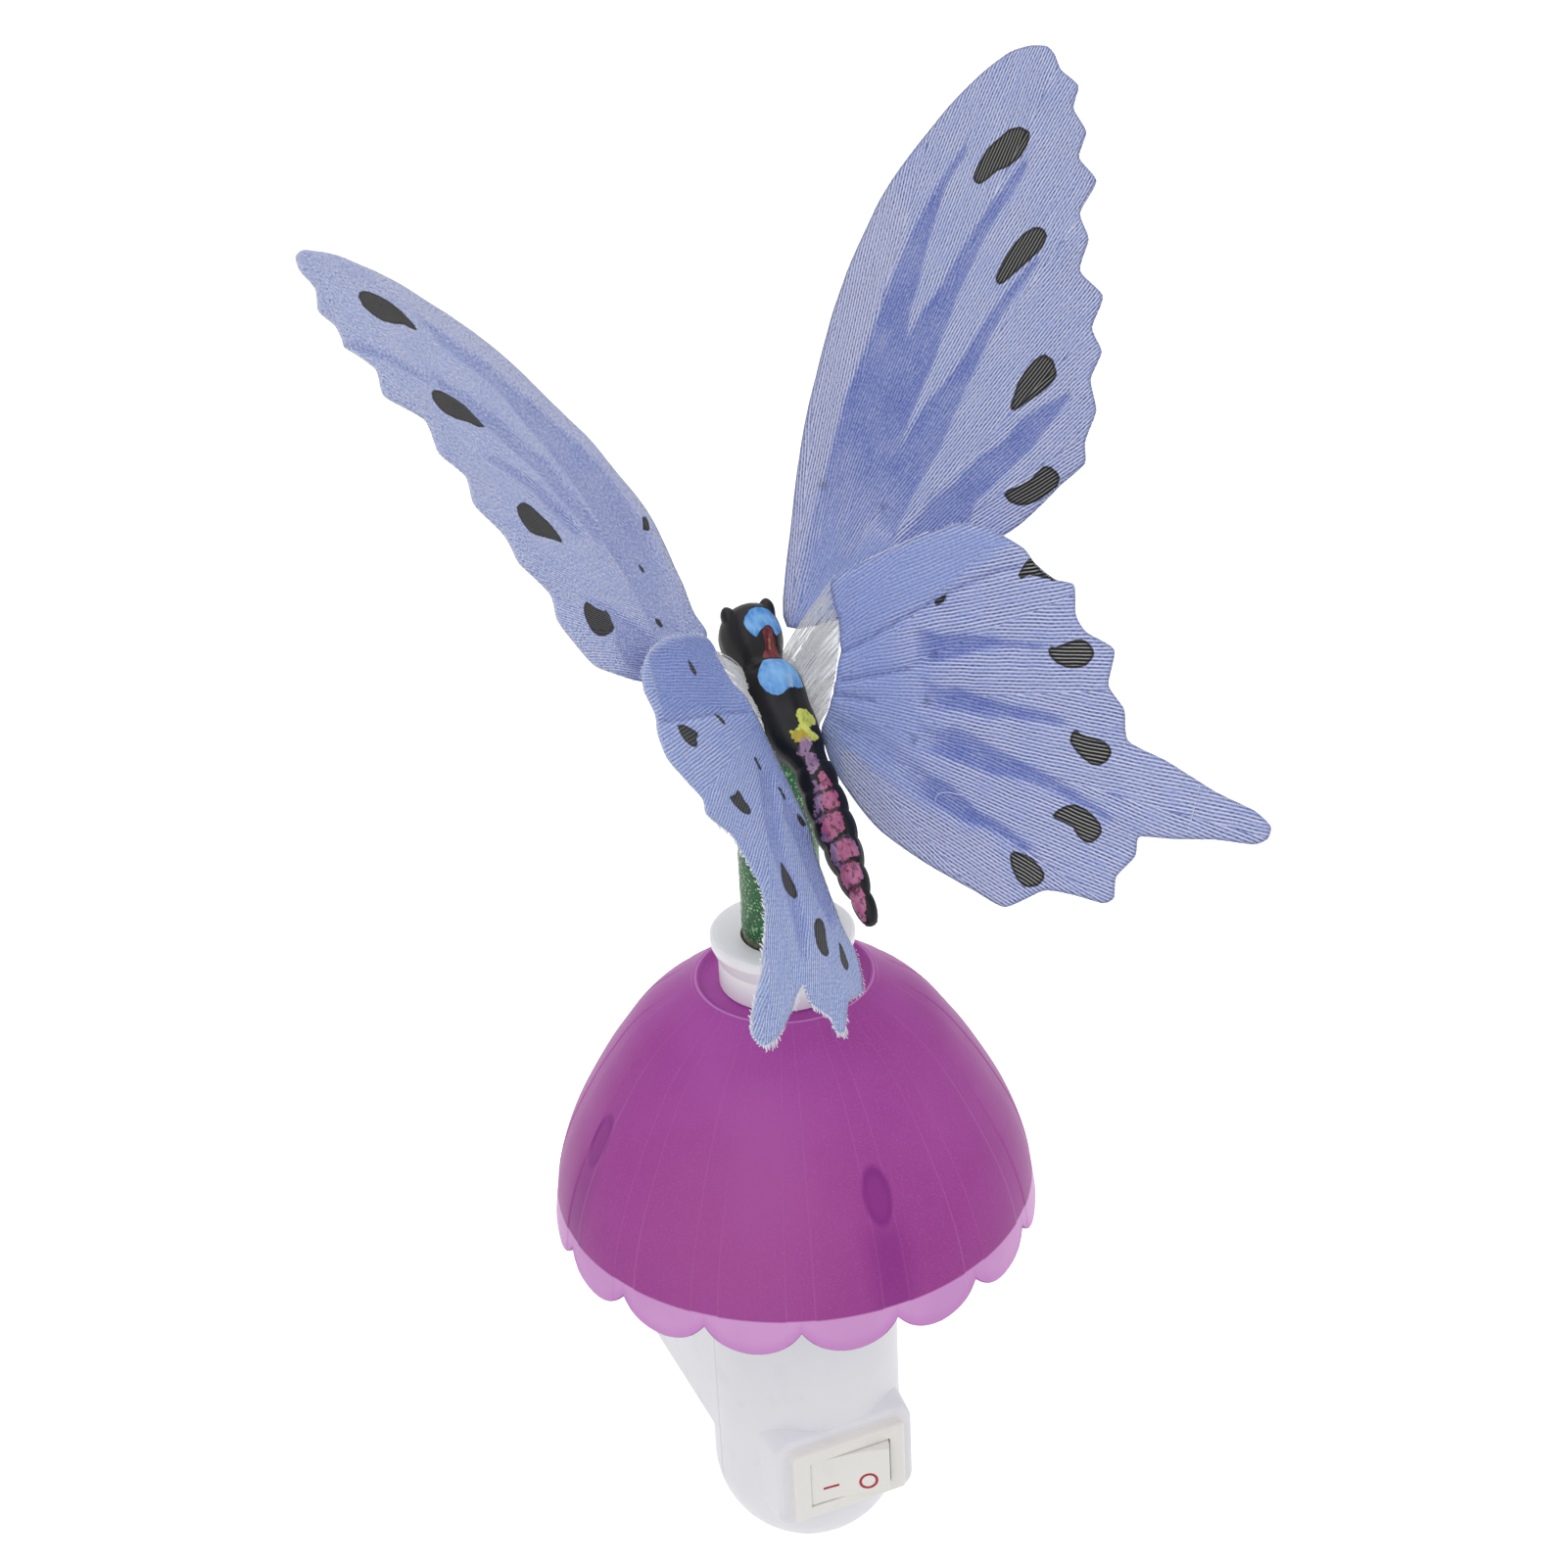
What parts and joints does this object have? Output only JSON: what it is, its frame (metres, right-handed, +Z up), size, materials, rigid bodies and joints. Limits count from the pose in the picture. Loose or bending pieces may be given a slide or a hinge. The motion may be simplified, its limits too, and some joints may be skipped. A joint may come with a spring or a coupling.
{
  "type": "plug-in night light",
  "caption": "Plug-in night light: white plug body with a rocker switch, a domed scalloped purple shade, a green stem and a cloth-winged butterfly.",
  "frame": {"origin": "centre of the plug's wall face, halfway between the two blades", "axes": "+Y into the wall socket, +Z up, +X to the right of a person facing the wall; the lamp stands out on the -Y side"},
  "size_m": [0.085, 0.1055, 0.1844],
  "materials": {
    "housing": "smooth moulded white",
    "screw_steel": "plain",
    "blade_metal": "nickel plated",
    "switch_plastic": "smooth cream",
    "plunger_nylon": "plain",
    "contact_brass": "plain",
    "board": "plain laminate",
    "film_capacitor_case": "smooth",
    "rectifier_case": "plain",
    "capacitor_can": "sleeved",
    "resistor_body": "plain",
    "wire_insulation": "plain",
    "floor_plastic": "satin",
    "led_epoxy": "clear",
    "shade_plastic": "translucent purple, paler hem",
    "cap_plastic": "translucent white",
    "glitter_sleeve": "green glitter film",
    "clear_tube": "clear",
    "fibre": "clear filaments",
    "body_enamel": "glossy black with painted patches",
    "wing_cloth": "thin blue woven cloth with dark spots"
  },
  "bodies": {
    "lamp": {"front_housing": "housing", "rear_housing": "housing", "plug_plate": "housing", "housing_screws": "screw_steel", "plate_screws": "screw_steel", "shade_screws": "screw_steel", "plug_blades": "blade_metal", "switch_body": "switch_plastic", "switch_terminals": "contact_brass", "circuit_board": "board", "film_capacitor": "film_capacitor_case", "bridge_rectifier": "rectifier_case", "smoothing_capacitor": "capacitor_can", "resistors": "resistor_body", "mains_wires": "wire_insulation", "switch_wire": "wire_insulation", "led_wires": "wire_insulation", "shade_floor": "floor_plastic", "led_holder": "floor_plastic", "led": "led_epoxy", "shade": "shade_plastic", "stem_cap": "cap_plastic", "cap_nut": "cap_plastic", "body_plug": "cap_plastic", "stem_sleeve": "glitter_sleeve", "stem_tube": "clear_tube", "fibre_bundle": "fibre", "right_hindwing_fibres": "fibre", "left_hindwing_fibres": "fibre", "right_forewing_fibres": "fibre", "left_forewing_fibres": "fibre", "butterfly_body": "body_enamel", "right_forewing": "wing_cloth", "left_forewing": "wing_cloth", "right_hindwing": "wing_cloth", "left_hindwing": "wing_cloth"},
    "rocker": {"switch_rocker": "switch_plastic", "switch_plunger": "plunger_nylon"},
    "contact": {"switch_contact": "contact_brass"}
  },
  "joints": [
    {"name": "rocker_tilt", "type": "hinge", "parent": "lamp", "child": "rocker", "pos_m": [0, -0.0431, -0.0159], "axis": [0, 0, 1], "range_deg": [0, 20]},
    {"name": "contact_tilt", "type": "hinge", "parent": "lamp", "child": "contact", "pos_m": [0, -0.0385, -0.0159], "axis": [0, 0, 1], "range_deg": [-12, 0]}
  ],
  "couplings": [
    {"joint": "contact_tilt", "follows": "rocker_tilt", "ratio": -0.6}
  ]
}
